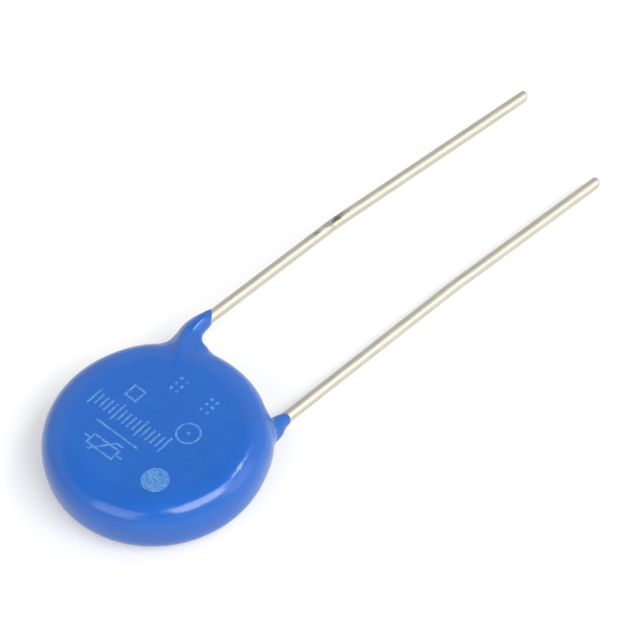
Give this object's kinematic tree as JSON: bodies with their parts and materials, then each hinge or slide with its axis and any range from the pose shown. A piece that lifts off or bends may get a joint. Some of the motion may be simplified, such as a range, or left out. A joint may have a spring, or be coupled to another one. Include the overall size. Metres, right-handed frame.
{
  "type": "metal oxide varistor",
  "caption": "Round blue epoxy-dipped varistor with rounded shoulders, two drawn-out coating sleeves and two straight tinned wire leads.",
  "frame": {"origin": "middle of the rear face of the coated disc, on which the part lies", "axes": "+Z along the axis of the disc, out of the front face; +Y the way the two leads leave the body; +X from the front lead to the rear lead"},
  "size_m": [0.0152, 0.0461, 0.0045],
  "materials": {
    "ceramic": "sintered zinc oxide, matt dark grey",
    "silver": "fired silver film, satin",
    "tinned_wire": "tinned copper, satin",
    "solder": "tin solder, satin",
    "epoxy": "dipped epoxy, glossy blue"
  },
  "bodies": {
    "root": {"zinc_oxide_disc": "ceramic", "front_electrode": "silver", "rear_electrode": "silver", "front_lead": "tinned_wire", "rear_lead": "tinned_wire", "front_solder_joint": "solder", "rear_solder_joint": "solder", "epoxy_coating": "epoxy"}
  },
  "joints": []
}
